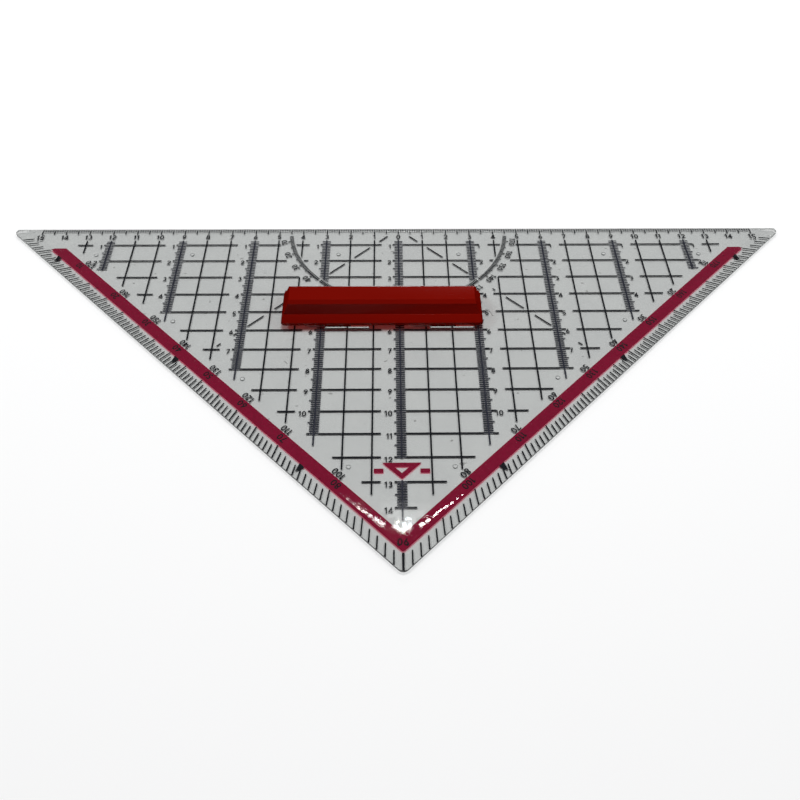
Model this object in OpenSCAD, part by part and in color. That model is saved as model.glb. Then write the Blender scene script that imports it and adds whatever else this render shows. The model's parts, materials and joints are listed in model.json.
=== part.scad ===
// Drawing set square, 45-45-90, in clear plastic with a removable sliding grip.
// Origin: the zero mark, on the long edge, in the plane that the part rests on.
// +X runs right along the long edge, +Y points out of the long edge, +Z is up.
// The body of the plate lies at negative Y. Millimetres.

/* [Plate] */
// Half of the long edge, from the zero mark to a sharp corner
half_edge = 163.5; // [160:0.5:168]
// Thickness of the plate
plate_t = 2.5; // [2.4:0.1:3.2]
// Thickness left at the long edge, outside its bevel
edge_rim_t = 1.5; // [1.2:0.1:1.8]
// Thickness left at the legs' edges, outside their bevels
leg_rim_t = 1.0; // [0.8:0.1:1.4]
// Width of the bevel along the long edge
edge_bevel_w = 3.0; // [2:0.1:3.5]
// Width of the bevels along the two legs
leg_bevel_w = 5.5; // [4:0.1:6]
// Radius of the two sharp corners in plan
corner_r = 1.5; // [1:0.1:2]
// Radius of the right-angled corner in plan
apex_r = 2.2; // [1.5:0.1:3]
// Height of the nubs that hold the print off the table
nub_h = 0.6; // [0.5:0.05:1]
// Diameter of each nub
nub_d = 1.5; // [1.3:0.1:2]

/* [Grip] */
// Length of the grip at its foot
grip_l = 76.9; // [74:0.1:78]
// Length of the grip at its top
grip_top_l = 70.3; // [68:0.1:72]
// Depth of the grip at its foot
grip_w = 18.4; // [18:0.1:19]
// Depth of the grip's flat top
grip_top_w = 7.1; // [6:0.1:7.6]
// Height of the grip above the plate
grip_h = 8.1; // [7.8:0.1:9]
// Radius of the grip's foot at its corners in plan
grip_corner_r = 1.8; // [1:0.1:2]
// Wall thickness of the grip
grip_wall = 1.6; // [1.2:0.1:1.8]
// Distance from the long edge to the middle of the grip
grip_inset = 50.2; // [50:0.1:50.6]
// How far the grip slides sideways to lock
lock_travel = 6.7; // [6:0.1:6.8]
// Gap left between sliding faces
slide_gap = 0.3; // [0.25:0.05:0.4]

/* [Slots] */
// Length of each slot for the grip's hooks
slot_l = 16.8; // [16.6:0.1:18]
// Width of each slot
slot_w = 3.8; // [3.6:0.1:4]
// Distance between the slots of one row, middle to middle
slot_pitch = 40; // [38:1:42]

/* [Print] */
// Width of the grid's column lines
line_w = 0.6; // [0.4:0.05:0.7]
// Width of the grid's row lines
row_w = 0.65; // [0.4:0.05:0.8]
// Width of the millimetre lines on the long edge
tick_w = 0.45; // [0.3:0.05:0.5]
// Width of the degree lines along the legs
degree_w = 0.5; // [0.3:0.05:0.6]
// Width of the millimetre lines beside the grid's columns
rung_w = 0.5; // [0.4:0.05:0.55]
// Thickness of one layer of print
ink_t = 0.04; // [0.03:0.01:0.05]
// Height of the numbers along the long edge
edge_digit_h = 2.6; // [2:0.1:2.8]
// Height of the numbers beside the grid's columns
digit_h = 2.3; // [1.8:0.1:2.4]
// Height of the numbers along the legs
leg_digit_h = 2.5; // [2.2:0.1:2.6]
// Thickness of the strokes, as a share of a digit's height
stroke = 0.17; // [0.12:0.01:0.2]

/* [Scales] */
// Half length of the millimetre scale, in millimetres
scale_half = 150; // [100:10:150]
// Radius at which the small protractor's marks start
arc_r = 44.3; // [44:0.1:44.6]
// Distance of the coloured band's outer line from the zero mark, along the axes
band_out = 155.7; // [155:0.1:156]
// Width of the coloured band, measured along the axes
band_w = 6.0; // [5:0.1:6.4]

/* [Hidden] */
$fn = 48;

root2 = sqrt(2);
cell = 10;                            // grid spacing, one centimetre
under_z = nub_h;                      // underside of the plate
top_z = nub_h + plate_t;              // top face of the plate
ink_gap = 0.01;                       // air between the plate and its print
black_z = under_z - ink_gap - ink_t;  // the dark print lies against the plate
red_z = black_z - ink_gap - ink_t;    // the red print lies under the dark print

slot_x = [-slot_pitch / 2, slot_pitch / 2];
slot_off = grip_w / 2 + 0.3 - slot_w / 2;  // slot rows, to each side of the grip's middle
toe_l = 7;                            // hook toe, along the slide
hook_l = slot_l - 2 * 0.4;            // whole hook, which drops through its slot
hook_w = slot_w - 2 * 0.6;
toe_w = 1.3;                          // the toe is the half of the hook nearer the grip's middle
toe_z = 0.3;
toe_t = 1.2;
recess_l = toe_l + 0.6;               // room under the plate for a toe
recess_w = 2.2;
recess_h = toe_z + toe_t + slide_gap - under_z;
foot_z = top_z + slide_gap;           // underside of the grip's foot

nubs = [[124.5, 16.2], [85, 16], [24.8, 16], [86.8, 55], [57, 84.6], [17.7, 123.8]];
catch_at = [32.4, 53.8];              // middle of the raised catch's arc
catch_r = 3.3;
catch_h = 0.22;
arc_line_w = 0.52;                    // the small protractor's lines stand close together

blank_in = 43.7;                      // the grid is left out between these two radii
blank_out = 50;
ladder_x = [-120, -90, -60, -30, 0, 30, 60, 90, 120];
ladder_half = 1.7;                    // reach of a millimetre line beside its column
ladder_long = 2.4;                    // reach of every fifth line, on the numbered side
grid_reach = 145;                     // the grid stays inside |x| + |y| of this
row_reach = [143.3, 144.7];            // a row stops at |x| + |y| of this, left and right of the middle
last_rung = 140;                      // the ladders end at |x| + |y| of this, where a row has no number
stub = [2.5, 3.4];                    // a row stops this far past a ladder, left and right of the middle,
resume = [7.0, 7.3];                  // and goes on from here, past the number
emblem_gap = [120, 130];              // the middle column leaves room for the emblem
grid_top = 7.2;                       // the columns start here

// ---------------------------------------------------------------- helpers

function arc(c, r, a0, a1, n) = [for (i = [0:n]) let (a = a0 + (a1 - a0) * i / n) c + r * [cos(a), sin(a)]];
function unit(v) = v / norm(v);
function reach(a) = abs(cos(a)) + sin(a);   // |x| + |y| of a unit ray at this angle below the long edge
function ray(a, s) = s / reach(a) * [cos(a), -sin(a)];

// A mitred offset point beside point i of a path, w / 2 to its left
function beside(p, i, w) =
    let (a = unit(i > 0 ? p[i] - p[i - 1] : p[1] - p[0]),
         b = i < len(p) - 1 ? unit(p[i + 1] - p[i]) : a,
         m = unit(a + b))
    p[i] + w / 2 / max(m * a, 0.4) * [-m[1], m[0]];

// The outline of a pen line of width w along a path
function ribbon(p, w) = concat([for (i = [0:len(p) - 1]) beside(p, i, w)],
                               [for (i = [len(p) - 1:-1:0]) beside(p, i, -w)]);

module bar(x, y0, y1, w) { translate([x - w / 2, -y1]) square([w, y1 - y0]); }

module row(y, x0, x1, w) { translate([x0, -y - w / 2]) square([x1 - x0, w]); }

module spoke(a, r0, r1, w) { rotate(-a) translate([r0, -w / 2]) square([r1 - r0, w]); }

module ring(r, w) {
    difference() {
        circle(r = r + w / 2);
        circle(r = r - w / 2);
    }
}

module black_ink() { color([0.09, 0.09, 0.11]) translate([0, 0, black_z]) linear_extrude(ink_t) children(); }

module red_ink() { color([0.55, 0.06, 0.2]) translate([0, 0, red_z]) linear_extrude(ink_t) children(); }

// ---------------------------------------------------------------- digits, one unit high, baseline at 0

module pen(p) { polygon(ribbon(p, stroke)); }

module oval_zero() {
    n = 20;
    outer = [for (i = [0:n - 1]) [0.33 * cos(360 * i / n), 0.5 + 0.5 * sin(360 * i / n)]];
    inner = [for (i = [0:n - 1]) [(0.33 - stroke) * cos(360 * i / n), 0.5 + (0.5 - stroke) * sin(360 * i / n)]];
    polygon(concat(outer, inner), [[for (i = [0:n - 1]) i], [for (i = [0:n - 1]) n + i]]);
}

module six() {
    translate([0, 0.31]) ring(0.31 - stroke / 2, stroke);
    pen([[-0.2, 0.4], [0.13, 0.98]]);
}

module digit(d) {
    if (d == 0) oval_zero();
    if (d == 1) {
        translate([-stroke / 2 + 0.04, 0]) square([stroke, 1]);
        pen([[-0.2, 0.76], [0.04, 0.92]]);
    }
    if (d == 2) {
        pen(concat(arc([0, 0.7], 0.23, 175, -35, 7), [[-0.2, 0.08]]));
        translate([-0.3, 0]) square([0.6, stroke]);
    }
    if (d == 3) {
        pen(arc([-0.02, 0.745], 0.185, 150, -105, 8));
        pen(arc([-0.02, 0.3], 0.23, 100, -150, 8));
    }
    if (d == 4) {
        pen([[0.12, 0.93], [-0.26, 0.27], [0.35, 0.27]]);
        translate([0.12 - stroke / 2, 0]) square([stroke, 1]);
    }
    if (d == 5) {
        pen([[0.26, 0.93], [-0.14, 0.93], [-0.19, 0.47]]);
        pen(arc([-0.02, 0.31], 0.24, 120, -145, 8));
    }
    if (d == 6) six();
    if (d == 7) pen([[-0.28, 0.93], [0.22, 0.93], [-0.1, 0]]);
    if (d == 8) {
        translate([0, 0.745]) ring(0.185, stroke);
        translate([0, 0.3]) ring(0.23, stroke);
    }
    if (d == 9) translate([0, 1]) rotate(180) six();
}

// True where a number of about this margin would run into a hook's slot or recess
function at_hooks(p, margin) = max([for (x = slot_x, s = [-1, 1])
    p[0] > x - slot_l / 2 - recess_l - margin && p[0] < x + slot_l / 2 + margin
    && abs(p[1] + grip_inset - s * slot_off) < slot_w / 2 + margin ? 1 : 0]) == 1;

function digits_of(n) = n < 10 ? [n] : concat(digits_of(floor(n / 10)), [n % 10]);
function advance(d) = d == 1 ? 0.5 : 0.76;
function run(ds, k) = k == 0 ? 0 : advance(ds[k - 1]) + run(ds, k - 1);

// A whole number of height h, its middle height at the origin.
// side: 0 centred, 1 to the right of the origin, -1 to its left
module number(n, h, side = 0) {
    ds = digits_of(n);
    start = (side - 1) * run(ds, len(ds)) / 2;
    for (k = [0:len(ds) - 1])
        scale(h) translate([start + run(ds, k) + advance(ds[k]) / 2, -0.5]) digit(ds[k]);
}

// ---------------------------------------------------------------- plate

// Corner c between two edges, rounded: the arc turns from angle a0 to a1 about its middle m
function rounded(m, r, a0, a1) = arc(m, r, a0, a1, 9);

function plate_outline() =
    let (m = half_edge - corner_r * (1 + root2), low = half_edge - apex_r * root2)
    concat(rounded([m, -corner_r], corner_r, 90, -45),
           rounded([0, -low], apex_r, -45, -135),
           rounded([-m, -corner_r], corner_r, 225, 90));

// Cuts a bevel of width w down to a rim along an edge that runs along X, with the plate at negative Y
module bevel_cut(w, rim) {
    drop = plate_t - rim;
    over = 1;
    translate([0, 0, top_z]) rotate([90, 0, 90]) linear_extrude(2.6 * half_edge, center = true)
        polygon([[-w, 0], [over, -drop - drop * over / w], [over, over], [-w, over]]);
}

// The four slots in plan, grown by a margin
module slots(margin) {
    for (x = slot_x, s = [-1, 1]) translate([x, -grip_inset + s * slot_off])
        square([slot_l + 2 * margin, slot_w + 2 * margin], center = true);
}

// In plan, the room under the plate that the hooks' toes need beside the slots, grown by a margin
module toe_rooms(margin) {
    for (x = slot_x, s = [-1, 1])
        translate([x - (slot_l + recess_l) / 2, -grip_inset + s * (slot_off - slot_w / 2 + recess_w / 2)])
            square([recess_l + 2 * margin, recess_w + 2 * margin], center = true);
}

module nub_feet() {
    for (p = nubs, s = [-1, 1]) translate([s * p[0], -p[1], 0]) cylinder(d = nub_d, h = nub_h + 0.2);
}

// A low raised crescent beside the grip's end, which the grip rides over when it is unlocked
module grip_catch() {
    translate([catch_at[0], -catch_at[1], top_z - 0.2]) rotate([0, 0, -5])
        rotate_extrude(angle = 80) translate([catch_r - 0.3, 0]) square([0.6, 0.2 + catch_h]);
}

module plate() {
    color([0.8, 0.85, 0.86, 0.55])
    difference() {
        union() {
            difference() {
                translate([0, 0, under_z]) linear_extrude(plate_t) polygon(plate_outline());
                bevel_cut(edge_bevel_w, edge_rim_t);
                for (s = [-1, 1])
                    translate([s * half_edge / 2, -half_edge / 2, 0]) rotate(-135 * s)
                        bevel_cut(leg_bevel_w, leg_rim_t);
            }
            nub_feet();
            grip_catch();
        }
        translate([0, 0, -1]) linear_extrude(top_z + 2) slots(0);
        translate([0, 0, -1]) linear_extrude(1 + under_z + recess_h) toe_rooms(0.01);
    }
}

// ---------------------------------------------------------------- grip

// Half sections, as depth from the grip's middle and height above its foot:
// a sloping foot flange, a small ledge, a steep finger face, a shoulder and the flat top
grip_outer = [[grip_w / 2, 0], [grip_w / 2, 1.2], [6.7, 2.95], [6.3, 3.1], [5.0, grip_h - 1],
              [grip_top_w / 2, grip_h]];
grip_inner = [[grip_w / 2 - grip_wall, -1], [grip_w / 2 - grip_wall, 0.6], [4.8, 2.6],
              [5.0 - grip_wall, grip_h - grip_wall]];

function mirrored(p) = concat(p, [for (i = [len(p) - 1:-1:0]) [-p[i][0], p[i][1]]]);

// A bar along X with a half section, its ends leaning in from half length a at the foot to b at height h
module leaning_bar(section, a, b, h) {
    low = section[0][1];
    lean = (a - b) / h;
    intersection() {
        rotate([90, 0, 90]) linear_extrude(2 * a + 4, center = true) polygon(mirrored(section));
        rotate([90, 0, 0]) linear_extrude(grip_w + 4, center = true)
            polygon([[-a + lean * low, low], [a - lean * low, low], [b - lean, h + 1], [-b + lean, h + 1]]);
    }
}

// One hook: a leg that passes down through its slot, and a toe under the plate to its left
module hook(x, s) {
    drop = toe_z - foot_z;
    near = slot_off - hook_w / 2;
    far = slot_off + hook_w / 2;
    toe_x = x - hook_l / 2;
    translate([toe_x + toe_l, 0, 0]) rotate([90, 0, 90]) linear_extrude(hook_l - toe_l)
        polygon([for (p = [[near, drop], [far, drop], [far, 0.8], [7.2, 2.0], [near, 2.0]]) [s * p[0], p[1]]]);
    translate([toe_x, s * (near + toe_w / 2) - toe_w / 2, drop]) cube([toe_l + 1, toe_w, toe_t]);
}

// An upright block with rounded corners around the grip's foot
module foot_block() {
    r = grip_corner_r;
    a = grip_l / 2 - r;
    b = grip_w / 2 - r;
    linear_extrude(3 * grip_h, center = true)
        polygon(concat(rounded([a, b], r, 0, 90), rounded([-a, b], r, 90, 180),
                       rounded([-a, -b], r, 180, 270), rounded([a, -b], r, 270, 360)));
}

module grip() {
    rib_x = [-22, 0, 22];
    rib_t = 1.2;
    color([0.62, 0.05, 0.03])
    translate([-lock_travel, -grip_inset, foot_z]) {
        difference() {
            intersection() {
                leaning_bar(grip_outer, grip_l / 2, grip_top_l / 2, grip_h);
                foot_block();
            }
            difference() {
                leaning_bar(grip_inner, grip_l / 2 - grip_wall, grip_top_l / 2 - grip_wall, grip_h);
                for (x = rib_x) translate([x - rib_t / 2, -grip_w / 2, 1]) cube([rib_t, grip_w, grip_h]);
            }
        }
        for (x = slot_x, s = [-1, 1]) hook(x, s);
    }
}

// ---------------------------------------------------------------- print: the long edge

module edge_scale() {
    edge_y = 0.15;
    black_ink() for (k = [-scale_half:scale_half])
        bar(k, edge_y, k % 10 == 0 ? 3.2 : k % 5 == 0 ? 2.9 : 1.6, tick_w);
}

module edge_numbers() {
    middle_y = 4.9;
    black_ink() for (k = [-scale_half / cell:scale_half / cell])
        translate([k * cell, -middle_y]) number(abs(k), edge_digit_h);
}

// ---------------------------------------------------------------- print: the grid

// Where the ladder at x has its last millimetre line: on a row, except at the outermost two
function ladder_end(x) = (abs(x) == 120 ? grid_reach : last_rung) - abs(x);

// The print stays clear of the slots and of the toes' rooms
module hook_room() {
    slots(0.1);
    toe_rooms(0.3);
}

module blank_ring() { ring((blank_in + blank_out) / 2, blank_out - blank_in); }

// Where row j ends on side k, 0 left or 1 right: a row that meets a ladder's end stops just past it,
// except the last row's right side
function row_end(j, k) = j % 3 == 2 && j + k < 15 ? (14 - j) * cell + stub[k] : row_reach[k] - j * cell;

// Rows, with gaps for the numbers beside the ladders and for the ladders themselves
module rows() {
    for (j = [1:14]) difference() {
        row(j * cell, -row_end(j, 0), row_end(j, 1), row_w);
        for (x = ladder_x) {
            k = x > 0 ? 1 : 0;
            if (abs(x) + j * cell < last_rung) row(j * cell, x + (k == 1 ? stub[1] : -resume[0]),
                                                   x + (k == 1 ? resume[1] : -stub[0]), 2);
            row(j * cell, x - ladder_half, x + ladder_half, 2);
        }
    }
}

module grid_lines() {
    black_ink() difference() {
        union() {
            for (i = [-13:13]) if (i % 3 != 0) bar(i * cell, grid_top, grid_reach - abs(i) * cell, line_w);
            rows();
        }
        blank_ring();
        hook_room();
    }
}

// ---------------------------------------------------------------- print: the millimetre ladders

// One side of a ladder: out and back along every millimetre line from y0 to y1
function rungs(x, s, y0, y1, long_side) = [for (k = [y0:y1])
    let (r = k % 5 == 0 && k % 10 != 0 && long_side ? ladder_long : ladder_half, t = rung_w / 2)
    each [[x + s * line_w / 2, -k + t], [x + s * r, -k + t], [x + s * r, -k - t], [x + s * line_w / 2, -k - t]]];

function backwards(p) = [for (i = [len(p) - 1:-1:0]) p[i]];

// A column line from top to bottom with its millimetre lines from y0 to y1
module ladder(x, top, y0, y1, bottom) {
    h = line_w / 2;
    polygon(concat([[x + h, -top]], rungs(x, 1, y0, y1, x > 0), [[x + h, -bottom], [x - h, -bottom]],
                   backwards(rungs(x, -1, y0, y1, x <= 0)), [[x - h, -top]]));
}

module column_scales() {
    black_ink() difference() {
        for (x = ladder_x) {
            if (x == 0) {
                ladder(x, 6.7, 8, emblem_gap[0], emblem_gap[0] + line_w);
                ladder(x, emblem_gap[1] - line_w, emblem_gap[1], last_rung, 144.8);
            }
            else ladder(x, grid_top, 8, ladder_end(x), max(grid_reach - abs(x), ladder_end(x) + line_w));
        }
        blank_ring();
        hook_room();
    }
}

// A row's number beside a ladder, left out where a ladder ends and where the small protractor passes
module row_numbers() {
    off = 2.95;
    below = 1.05;
    black_ink() for (x = ladder_x, j = [1:14]) {
        p = [x + (x > 0 ? off : -off), -j * cell - below];
        beside_ladder = abs(x) + j * cell < (x == 0 || abs(x) == 120 ? grid_reach : last_rung);
        clear = abs(norm(p) - (blank_in + blank_out) / 2) > 4;
        if (beside_ladder && clear && !at_hooks(p, 1.2)) translate(p) number(j, digit_h, x > 0 ? 1 : -1);
    }
}

module diagonal_marks() {
    dashes = [[4.5, 8], [11.8, 18.2], [22, 28], [37.2, 38.2], [42, 48.5], [52.3, 58], [61.7, 62.8], [67, 68.4]];
    black_ink() for (d = dashes, a = [45, 135]) spoke(a, d[0] * root2, d[1] * root2, 0.55);
}

// ---------------------------------------------------------------- print: the small protractor

module arc_scale() {
    black_ink() difference() {
        for (a = [6:174]) if (a != 45 && a != 135)
            spoke(a, arc_r, arc_r + (a % 10 == 0 ? 2.5 : a % 5 == 0 ? 2.0 : 1.6), arc_line_w);
        hook_room();
    }
}

module arc_numbers() {
    number_r = 48.4;
    arc_digit_h = 2.4;
    black_ink() for (a = [10:10:170]) {
        p = number_r * [-cos(a), -sin(a)];
        if (!at_hooks(p, 2)) translate(p) rotate(a - 270) number(a, arc_digit_h);
    }
}

// ---------------------------------------------------------------- print: the large protractor on the legs

pointer_angles = [7, 42, 75];         // the angles used for oblique and axonometric drawing

// A filled arrow that stands on the band's outer line and points out of the leg
module pointers(s) {
    for (a = pointer_angles) {
        p = ray(a, band_out + 0.1);
        translate([s * p[0], p[1]]) rotate(s > 0 ? -45 : -135) polygon([[0, -1.3], [3.2, 0], [0, 1.3]]);
    }
}

module angle_pointers() { black_ink() for (s = [-1, 1]) pointers(s); }

// Degree lines on one leg, from the acute corner to just short of the apex
module degree_lines(s) {
    for (a = [2:89]) {
        r = 1 / reach(a);
        spoke(s > 0 ? a : 180 - a, r * (a % 5 == 0 ? 156.1 : 157.8), r * 162.9, degree_w);
    }
}

module left_leg_scale() {
    black_ink() difference() {
        degree_lines(-1);
        pointers(-1);
    }
}

module right_leg_scale() {
    black_ink() difference() {
        union() {
            degree_lines(1);
            spoke(90, 156.1, 162, degree_w);
        }
        pointers(1);
    }
}

// A degree number beside a leg, its top pointing out of the plate
module leg_number(n, a, s, reach_at) {
    p = ray(a == 80 ? 80.6 : a, reach_at);
    translate([s * p[0], p[1]]) rotate(-135 * s) number(n, leg_digit_h);
}

module leg_numbers() {
    inner = 147.6;
    black_ink() for (a = [10:10:80]) {
        leg_number(a, a, 1, inner);
        leg_number(180 - a, a, -1, inner);
    }
}

module band_numbers() {
    middle = band_out - band_w / 2 - 0.2;
    black_ink() {
        for (a = [10:10:80]) {
            leg_number(180 - a, a, 1, middle);
            leg_number(a, a, -1, middle);
        }
        translate([0, -middle]) rotate(180) number(90, leg_digit_h);
    }
}

module leg_band() {
    cut = 12;                         // both ends stop on a line parallel to the long edge
    in = band_out - band_w;
    red_ink() polygon([[band_out - cut, -cut], [0, -band_out], [cut - band_out, -cut],
                       [cut - in, -cut], [0, -in], [in - cut, -cut]]);
}

// A plain outlined set square between two short bars
module emblem() {
    top = 122.3;
    half = 6.6;
    line = 1.7;
    red_ink() {
        difference() {
            polygon([[-half, -top], [half, -top], [0, -top - half]]);
            polygon([[-half + line * (1 + root2), -top - line], [half - line * (1 + root2), -top - line],
                     [0, -top - half + line * root2]]);
        }
        for (s = [-1, 1]) translate([s * 7.7 - 1.6, -top - 2.4 - line]) square([3.2, line]);
    }
}

plate();
grip();
edge_scale();
edge_numbers();
grid_lines();
column_scales();
row_numbers();
diagonal_marks();
arc_scale();
arc_numbers();
left_leg_scale();
right_leg_scale();
leg_numbers();
band_numbers();
angle_pointers();
leg_band();
emblem();
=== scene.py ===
"""Looks for the drawing set square: clear plastic, screen print and a glossy red grip, on a pale floor."""

import json
import math
import random

import bmesh
import bpy
from mathutils import Matrix, Vector

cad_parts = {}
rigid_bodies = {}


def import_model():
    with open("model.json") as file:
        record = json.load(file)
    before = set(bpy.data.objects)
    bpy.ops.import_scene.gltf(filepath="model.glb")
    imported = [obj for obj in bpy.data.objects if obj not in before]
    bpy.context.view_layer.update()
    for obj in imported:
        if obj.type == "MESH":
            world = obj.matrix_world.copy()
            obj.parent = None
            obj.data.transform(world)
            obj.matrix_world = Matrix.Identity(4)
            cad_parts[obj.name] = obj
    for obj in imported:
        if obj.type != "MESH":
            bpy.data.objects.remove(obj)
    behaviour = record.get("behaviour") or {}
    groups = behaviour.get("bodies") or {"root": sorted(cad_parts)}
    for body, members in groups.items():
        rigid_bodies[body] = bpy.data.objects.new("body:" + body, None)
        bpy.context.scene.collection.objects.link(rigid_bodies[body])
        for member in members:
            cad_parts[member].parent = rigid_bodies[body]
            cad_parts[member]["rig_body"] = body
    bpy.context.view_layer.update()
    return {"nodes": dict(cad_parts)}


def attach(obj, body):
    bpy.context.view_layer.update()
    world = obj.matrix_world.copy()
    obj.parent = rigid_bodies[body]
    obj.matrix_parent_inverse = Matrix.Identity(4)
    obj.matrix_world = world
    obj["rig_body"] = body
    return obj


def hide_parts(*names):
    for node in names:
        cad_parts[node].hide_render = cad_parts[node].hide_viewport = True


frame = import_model()
nodes = frame["nodes"]
scene = bpy.context.scene

MM = 0.001

# ---------------------------------------------------------------- camera

CAMERA_AT = Vector((-0.00393, -0.28852, 0.22979))
LOOK_AT = Vector((-0.00031, -0.0951, 0.0017))
ROLL = math.radians(0.55)
LENS_MM = 38.1
SENSOR_MM = 36.0


def add_camera():
    """The photograph's viewpoint: in front of the right-angled corner, about 50 degrees above the table."""
    data = bpy.data.cameras.new("camera")
    data.lens = LENS_MM
    data.sensor_width = SENSOR_MM
    data.clip_start = 0.01
    camera = bpy.data.objects.new("camera", data)
    turn = (LOOK_AT - CAMERA_AT).to_track_quat("-Z", "Y").to_matrix().to_4x4()
    camera.matrix_world = Matrix.Translation(CAMERA_AT) @ turn @ Matrix.Rotation(ROLL, 4, "Z")
    scene.collection.objects.link(camera)
    scene.camera = camera


# ---------------------------------------------------------------- node helpers

EDGE_SAMPLES = 6  # rays that look for an edge to round
COLOUR_INPUTS = (6, 7)  # the Mix node's sockets for colours
COLOUR_OUTPUT = 2


class Shading:
    """A material's node tree with short ways to add and join nodes."""

    def __init__(self, name):
        self.material = bpy.data.materials.new(name)
        self.material.use_nodes = True
        self.tree = self.material.node_tree
        self.tree.nodes.clear()
        self.output = self.add("ShaderNodeOutputMaterial")
        self.coords = self.add("ShaderNodeTexCoord").outputs["Object"]

    def add(self, kind, **settings):
        node = self.tree.nodes.new(kind)
        for key, value in settings.items():
            setattr(node, key, value)
        return node

    def join(self, source, target):
        self.tree.links.new(source, target)

    def noise(self, scale, detail=2.0, stretch=(1, 1, 1), turn=0.0, distortion=0.0):
        """Noise in the object's own metres, stretched along chosen axes."""
        mapping = self.add("ShaderNodeMapping")
        mapping.inputs["Scale"].default_value = stretch
        mapping.inputs["Rotation"].default_value = (0, 0, turn)
        self.join(self.coords, mapping.inputs["Vector"])
        node = self.add("ShaderNodeTexNoise")
        node.inputs["Scale"].default_value = scale
        node.inputs["Detail"].default_value = detail
        node.inputs["Distortion"].default_value = distortion
        self.join(mapping.outputs["Vector"], node.inputs["Vector"])
        return node.outputs["Fac"]

    def remap(self, value, low, high, to_low, to_high):
        """The value moved in step from one range to another, and kept inside it."""
        node = self.add("ShaderNodeMapRange")
        node.inputs["From Min"].default_value = low
        node.inputs["From Max"].default_value = high
        node.inputs["To Min"].default_value = to_low
        node.inputs["To Max"].default_value = to_high
        self.join(value, node.inputs["Value"])
        return node.outputs["Result"]

    def maths(self, operation, a, b):
        node = self.add("ShaderNodeMath", operation=operation)
        for socket, value in zip(node.inputs, (a, b)):
            if isinstance(value, (int, float)):
                socket.default_value = value
            else:
                self.join(value, socket)
        return node.outputs["Value"]

    def facing(self, axis):
        """1 where a face is square to the axis, and 0 where it runs along it."""
        parts = self.add("ShaderNodeSeparateXYZ")
        self.join(self.add("ShaderNodeNewGeometry").outputs["Normal"], parts.inputs["Vector"])
        return self.maths("ABSOLUTE", parts.outputs[axis], 0)

    def steepness(self):
        """0 on level faces and 1 on upright ones, such as a rim or a slot's wall."""
        return self.remap(self.facing("Z"), 0.75, 0.35, 0, 1)

    def blend(self, factor, a, b):
        """A colour between a and b, each a plain colour or another node's."""
        node = self.add("ShaderNodeMix", data_type="RGBA")
        self.join(factor, node.inputs["Factor"])
        for index, colour in zip(COLOUR_INPUTS, (a, b)):
            self.tint(node.inputs[index], colour)
        return node.outputs[COLOUR_OUTPUT]

    def tint(self, socket, colour):
        """Give a socket a plain colour, or join another node's to it."""
        if isinstance(colour, tuple):
            socket.default_value = (*colour, 1)
        else:
            self.join(colour, socket)

    def bump(self, height, distance, strength=1.0, rounding=0.0):
        """A surface relief, over edges rounded by the given radius."""
        node = self.add("ShaderNodeBump")
        if rounding:
            rounded = self.add("ShaderNodeBevel", samples=EDGE_SAMPLES)
            rounded.inputs["Radius"].default_value = rounding
            self.join(rounded.outputs["Normal"], node.inputs["Normal"])
        node.inputs["Distance"].default_value = distance
        node.inputs["Strength"].default_value = strength
        self.join(height, node.inputs["Height"])
        return node.outputs["Normal"]

    def see_through(self, shader, colour, kinds):
        """The shader, but clear and of the given colour to the given kinds of ray."""
        clear = self.add("ShaderNodeBsdfTransparent")
        self.tint(clear.inputs["Color"], colour)
        path = self.add("ShaderNodeLightPath")
        for kind in kinds:
            mix = self.add("ShaderNodeMixShader")
            self.join(path.outputs[kind], mix.inputs["Fac"])
            self.join(shader, mix.inputs[1])
            self.join(clear.outputs["BSDF"], mix.inputs[2])
            shader = mix.outputs["Shader"]
        return shader

    def finished(self, shader):
        """The material, with this shader on its surface."""
        self.join(shader, self.output.inputs["Surface"])
        return self.material

    def principled(self, **values):
        node = self.add("ShaderNodeBsdfPrincipled")
        for key, value in values.items():
            socket = node.inputs[key.replace("_", " ")]
            if isinstance(value, (int, float, tuple)):
                socket.default_value = value
            else:
                self.join(value, socket)
        return node


PLATE_ROUNDING = 0.45 * MM
PLATE_RELIEF = 0.06 * MM


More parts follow.
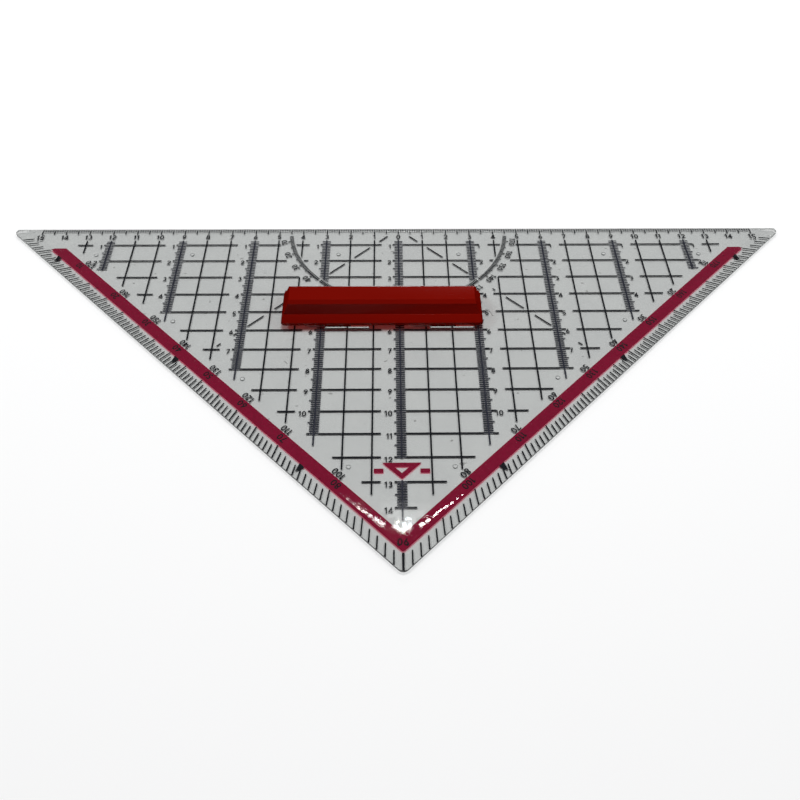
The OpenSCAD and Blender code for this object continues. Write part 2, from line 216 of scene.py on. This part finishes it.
def clear_plastic():
    """Polished clear plastic, slightly grey, with dust, smears, fine scratches and faint moulding waves,
    and painted shade on its upright faces.
    """
    s = Shading("clear_plastic")
    waves = s.noise(90, detail=1.0)
    haze = s.noise(35, detail=4.0)
    scratch_a = s.remap(s.noise(60, stretch=(1, 22, 1), turn=0.5, distortion=0.6), 0.66, 0.72, 0, 1)
    scratch_b = s.remap(s.noise(70, stretch=(1, 26, 1), turn=-0.9, distortion=0.5), 0.67, 0.73, 0, 1)
    scratches = s.maths("MAXIMUM", scratch_a, scratch_b)
    roughness = s.maths("ADD", s.remap(haze, 0.4, 0.75, 0.012, 0.04), s.maths("MULTIPLY", scratches, 0.04))
    height = s.maths("ADD", waves, s.maths("MULTIPLY", scratches, 0.05))
    # Painted shade: upright faces (the rim, slot walls and nub sides) get a dark base colour, which stands
    # in for the darkness that refraction and internal reflection give the rim.
    edge = s.steepness()
    smears = s.remap(s.noise(55, detail=3.0, distortion=1.0), 0.35, 0.75, 0, 1)
    dust = s.remap(s.noise(520, detail=0.0), 0.83, 0.88, 0, 1)
    level = s.blend(dust, s.blend(smears, (0.70, 0.71, 0.70), (0.66, 0.67, 0.665)), (0.3, 0.3, 0.29))
    glass = s.principled(
        Base_Color=s.blend(edge, level, (0.16, 0.17, 0.17)),
        Transmission_Weight=1.0,
        IOR=1.5,
        Roughness=roughness,
        Normal=s.bump(height, PLATE_RELIEF, 0.15, rounding=PLATE_ROUNDING),
    )
    # Light on its way from a lamp, or scattered up from the table, passes straight through the sheet.
    # Upright faces pass less of it, which casts a made-up dark line on the table beside the rim in place of
    # the one that refraction leaves there.
    tint = s.blend(edge, (0.87, 0.875, 0.873), (0.45, 0.46, 0.46))
    return s.finished(s.see_through(glass.outputs["BSDF"], tint, ("Is Diffuse Ray", "Is Shadow Ray")))


INK_RELIEF = 0.01 * MM
CRIMSON_GLOW = (0.8, 0.3, 0.42)


def ink(name, dark, light, roughness, glow=None):
    """Screen-printed ink bonded under the clear sheet: an even film with a little mottling and no gloss.

    With a glow, the film lets light of that colour through to the table.
    """
    s = Shading(name)
    mottle = s.noise(900, detail=3.0)
    colour = s.blend(s.remap(mottle, 0.35, 0.7, 0, 1), dark, light)
    shader = s.principled(
        Base_Color=colour,
        Specular_IOR_Level=0.0,
        Roughness=s.remap(mottle, 0.3, 0.7, roughness - 0.06, roughness + 0.08),
        Normal=s.bump(s.noise(2500, detail=2.0), INK_RELIEF, 0.4),
    )
    surface = shader.outputs["BSDF"]
    if glow:
        surface = s.see_through(surface, glow, ("Is Shadow Ray",))
    return s.finished(surface)


GRIP_RELIEF = 0.02 * MM
GRIP_SHEEN = 0.09
GRIP_GLOW = (0.5, 0.12, 0.1)


def red_plastic():
    """Glossy moulded red plastic, with slight flow marks, fine rubs and a faint orange-peel surface.

    Its walls are thin enough to redden the light in their shadow, and its ends are dull.
    """
    s = Shading("red_plastic")
    flow = s.noise(40, detail=3.0, stretch=(0.25, 1, 1))
    rubs = s.remap(s.noise(120, stretch=(1, 16, 16), distortion=0.4), 0.62, 0.72, 0, 1)
    roughness = s.maths("ADD", s.remap(flow, 0.3, 0.7, 0.12, 0.19), s.maths("MULTIPLY", rubs, 0.12))
    height = s.maths("ADD", s.noise(700, detail=2.0), s.maths("MULTIPLY", rubs, -0.25))
    shader = s.principled(
        Base_Color=s.blend(s.remap(flow, 0.3, 0.7, 0, 1), (0.142, 0.0022, 0.0004), (0.17, 0.0028, 0.0006)),
        Roughness=roughness,
        IOR=1.46,
        Specular_IOR_Level=s.remap(s.facing("X"), 0.3, 0.7, GRIP_SHEEN, 0),
        Normal=s.bump(height, GRIP_RELIEF, 0.5),
    )
    return s.finished(s.see_through(shader.outputs["BSDF"], GRIP_GLOW, ("Is Shadow Ray",)))


def plain(name, colour, roughness):
    s = Shading(name)
    return s.finished(s.principled(Base_Color=(*colour, 1), Roughness=roughness).outputs["BSDF"])


def wear(piece, material):
    piece.data.materials.clear()
    piece.data.materials.append(material)


# ---------------------------------------------------------------- pieces

MOULDED_NODES = ("plate", "grip")
RED_NODES = ("leg_band", "emblem")
FINE_NODES = ("column_scales",)
GRIP_ROUNDING = 0.35 * MM


def softened_copy(node_name, piece_name, radius, segments, material):
    """A copy of a CAD solid with its sharp edges rounded as moulding leaves them."""
    source = nodes[node_name]
    bm = bmesh.new()
    bm.from_mesh(source.data)
    bmesh.ops.remove_doubles(bm, verts=bm.verts, dist=1e-6)
    bmesh.ops.dissolve_limit(bm, angle_limit=math.radians(0.5), verts=bm.verts, edges=bm.edges)
    mesh = bpy.data.meshes.new(piece_name)
    bm.to_mesh(mesh)
    bm.free()
    piece = bpy.data.objects.new(piece_name, mesh)
    scene.collection.objects.link(piece)
    rounding = piece.modifiers.new("rounding", "BEVEL")
    rounding.width = radius
    rounding.segments = segments
    rounding.limit_method = "ANGLE"
    rounding.angle_limit = math.radians(12)
    rounding.use_clamp_overlap = True
    rounding.harden_normals = True
    for polygon in mesh.polygons:
        polygon.use_smooth = True
    wear(piece, material)
    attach(piece, source["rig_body"])
    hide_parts(node_name)


def dress_print():
    black = ink("black_ink", (0.009, 0.01, 0.014), (0.016, 0.017, 0.023), 0.45)
    fine_black = ink("fine_black_ink", (0.038, 0.04, 0.058), (0.055, 0.057, 0.078), 0.45)
    crimson = ink("crimson_ink", (0.3, 0.003, 0.036), (0.35, 0.005, 0.045), 0.4, glow=CRIMSON_GLOW)
    for name, node in nodes.items():
        if name in RED_NODES:
            wear(node, crimson)
        elif name in FINE_NODES:
            wear(node, fine_black)
        elif name not in MOULDED_NODES:
            wear(node, black)


# ---------------------------------------------------------------- stage

FLOOR_HALF = 4.0


def add_floor():
    mesh = bpy.data.meshes.new("floor")
    corners = [(-FLOOR_HALF, -FLOOR_HALF, 0), (FLOOR_HALF, -FLOOR_HALF, 0),
               (FLOOR_HALF, FLOOR_HALF, 0), (-FLOOR_HALF, FLOOR_HALF, 0)]
    mesh.from_pydata(corners, [], [(0, 1, 2, 3)])
    floor = bpy.data.objects.new("floor", mesh)
    scene.collection.objects.link(floor)
    wear(floor, plain("floor", (0.9, 0.9, 0.9), 0.9))


def add_area_light(name, at, width, depth, radiance, target=None, turn=0.0, colour=(1, 1, 1),
                   mirrored=True, seen_inside=True):
    """A rectangular lamp that faces the target, or straight down.

    It can be kept out of mirror images, and out of those inside the clear plastic.
    """
    data = bpy.data.lights.new(name, "AREA")
    data.shape = "RECTANGLE"
    data.size = width
    data.size_y = depth
    data.energy = radiance * math.pi * width * depth
    data.color = colour
    light = bpy.data.objects.new(name, data)
    light.location = at
    light.visible_glossy = mirrored
    light.visible_transmission = seen_inside
    if target:
        light.rotation_euler = (Vector(target) - Vector(at)).to_track_quat("-Z", "Y").to_euler()
    else:
        light.rotation_euler = (0, 0, turn)
    scene.collection.objects.link(light)


LAMP_HEIGHT = 1.3
STRIP_STEP = 0.02
PATCH_X = 0.001
CLEAR_CORNER = 0.149  # from the long edge to the inner corner of the crimson band
SPARKLES = 12
SPARKLE_RADIANCE = 16
DASHES = 8
DASH_RADIANCE = 30


def seen_at(x, y, height=LAMP_HEIGHT):
    """Where a lamp hangs for the photo's camera to see its image in the plate at (x, y)."""
    scale = CAMERA_AT.z / (CAMERA_AT.z + height)
    return (CAMERA_AT.x + (x - CAMERA_AT.x) / scale, CAMERA_AT.y + (y - CAMERA_AT.y) / scale, height)


def add_patch():
    """The soft bright patch in the plate's right-angled corner, as strips that narrow towards it."""
    # Each strip's place along the plate, then its lamp's width, depth and radiance
    strips = ((-0.1392, 0.110, 0.022, 0.5), (-0.1418, 0.080, 0.018, 1.6),
              (-0.1440, 0.044, 0.014, 2.2), (-0.1455, 0.016, 0.010, 2.0))
    for i, (y, width, depth, radiance) in enumerate(strips):
        # Each strip hangs a little higher than the last, so that no lamps lie in one plane.
        height = LAMP_HEIGHT + STRIP_STEP * (i + 1)
        add_area_light(f"patch_{i}", seen_at(PATCH_X, y, height), width, depth, radiance)


def add_sparkles(dice):
    """Small glints of slightly different colours, spread over the bright patch."""
    tints = ((1, 0.95, 0.8), (1, 1, 1), (0.82, 0.92, 1))
    for i in range(SPARKLES):
        y = dice.uniform(-0.1478, -0.1435)
        x = dice.uniform(-1, 1) * (CLEAR_CORNER + y) * 1.1
        width = dice.uniform(0.006, 0.014)
        depth = dice.uniform(0.004, 0.010)
        add_area_light(f"sparkle_{i}", seen_at(x, y), width, depth, SPARKLE_RADIANCE,
                       turn=dice.uniform(0, math.pi), colour=dice.choice(tints))


def add_dashes(dice):
    """A dashed row of glints along each arm of the crimson band, longer and thicker near the corner."""
    start = Vector((0.0195, -0.1350))
    run = Vector((0.0063, -0.1457)) - start
    for side in (-1, 1):
        slope = math.atan2(run.y, side * run.x)
        for i in range(DASHES):
            u = (i + dice.uniform(-0.2, 0.2)) / (DASHES - 1)
            y = start.y + run.y * u + dice.uniform(-0.00015, 0.00015)
            length = dice.uniform(0.005, 0.010) + 0.006 * u
            add_area_light(f"dash_{side}_{i}", seen_at(side * (start.x + run.x * u), y), length,
                           0.003 + 0.005 * u * u, DASH_RADIANCE, turn=slope)


def add_glints():
    """Small ceiling lamps that the plate mirrors beside its right-angled corner."""
    dice = random.Random(11)
    add_patch()
    add_sparkles(dice)
    add_dashes(dice)


def add_world(level):
    world = bpy.data.worlds.new("studio")
    world.use_nodes = True
    background = world.node_tree.nodes["Background"]
    background.inputs["Color"].default_value = (0.95, 0.97, 1.0, 1)
    background.inputs["Strength"].default_value = level
    scene.world = world


OBJECT_MIDDLE = (0, -0.08, 0)


def add_studio_lamps():
    """Soft light from almost overhead and both sides, kept out of reflections, and a low lamp behind."""
    add_area_light("overhead", (0, 0.25, LAMP_HEIGHT), 0.44, 0.5, 19.2, mirrored=False, seen_inside=False)
    for side in (-1, 1):
        add_area_light(f"side_{side}", (side * 0.98, 0, LAMP_HEIGHT), 0.4, 0.44, 12,
                       mirrored=False, seen_inside=False)
    add_area_light("behind", (0, 1.34, 0.70), 0.5, 0.2, 6, target=OBJECT_MIDDLE, seen_inside=False)


# ---------------------------------------------------------------- build

add_camera()
add_floor()
add_world(0.1)
add_studio_lamps()
add_glints()

wear(nodes["plate"], clear_plastic())
softened_copy("grip", "grip_body", GRIP_ROUNDING, 3, red_plastic())
dress_print()

scene.view_settings.view_transform = "Standard"
